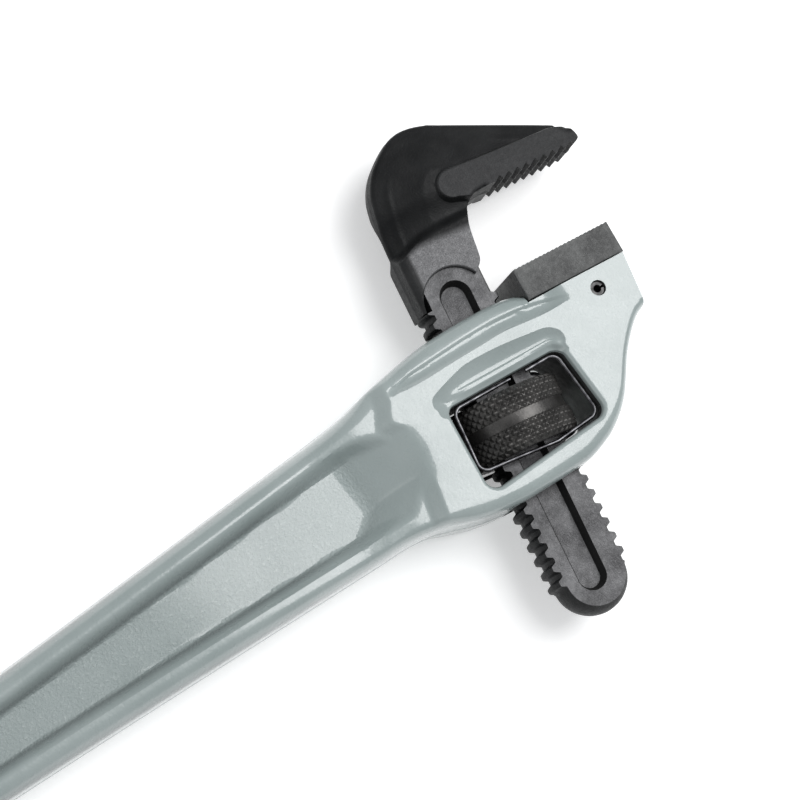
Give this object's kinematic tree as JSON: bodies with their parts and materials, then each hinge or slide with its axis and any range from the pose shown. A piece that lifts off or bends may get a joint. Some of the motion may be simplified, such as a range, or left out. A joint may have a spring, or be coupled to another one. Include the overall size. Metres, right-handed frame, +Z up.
{
  "type": "pipe wrench",
  "caption": "Offset (end) pipe wrench: cast I-beam handle with a window housing, a sliding hook jaw on a threaded shank, a knurled adjusting nut and a pinned heel jaw.",
  "frame": {"origin": "under the middle of the whole wrench as it lies on its side, jaws set as at rest", "axes": "+X along the handle towards the head, +Y towards the hook jaw, +Z up, through the thickness"},
  "size_m": [0.3616, 0.154, 0.035],
  "materials": {
    "grey_enamel": "semi-gloss grey-green enamel over sand-cast aluminium",
    "black_oxide_steel": "forged steel, black oxide, satin, fine grain",
    "nut_steel": "knurled steel, black oxide",
    "pin_steel": "rolled spring steel, dark",
    "bright_wire": "bright drawn spring wire",
    "spring_steel": "oiled spring steel"
  },
  "bodies": {
    "handle": {"handle_casting": "grey_enamel", "heel_jaw": "black_oxide_steel", "heel_jaw_pin": "pin_steel", "nut_wire_front": "bright_wire", "nut_wire_back": "bright_wire", "flat_spring": "spring_steel", "coil_spring": "spring_steel"},
    "hook": {"hook_jaw": "black_oxide_steel"},
    "nut": {"adjusting_nut": "nut_steel"}
  },
  "joints": [
    {"name": "hook_slide", "type": "slide", "parent": "handle", "child": "hook", "axis": [0.1736, 0.9848, 0], "range_m": [-0.0238, 0.0357]},
    {"name": "nut_spin", "type": "hinge", "parent": "handle", "child": "nut", "pos_m": [0.11315, -0.01602, 0.0175], "axis": [-0.1736, -0.9848, 0], "range_deg": [-1800, 2700]}
  ],
  "couplings": [
    {"joint": "nut_spin", "follows": "hook_slide", "rad_per_m": 1319.3}
  ]
}
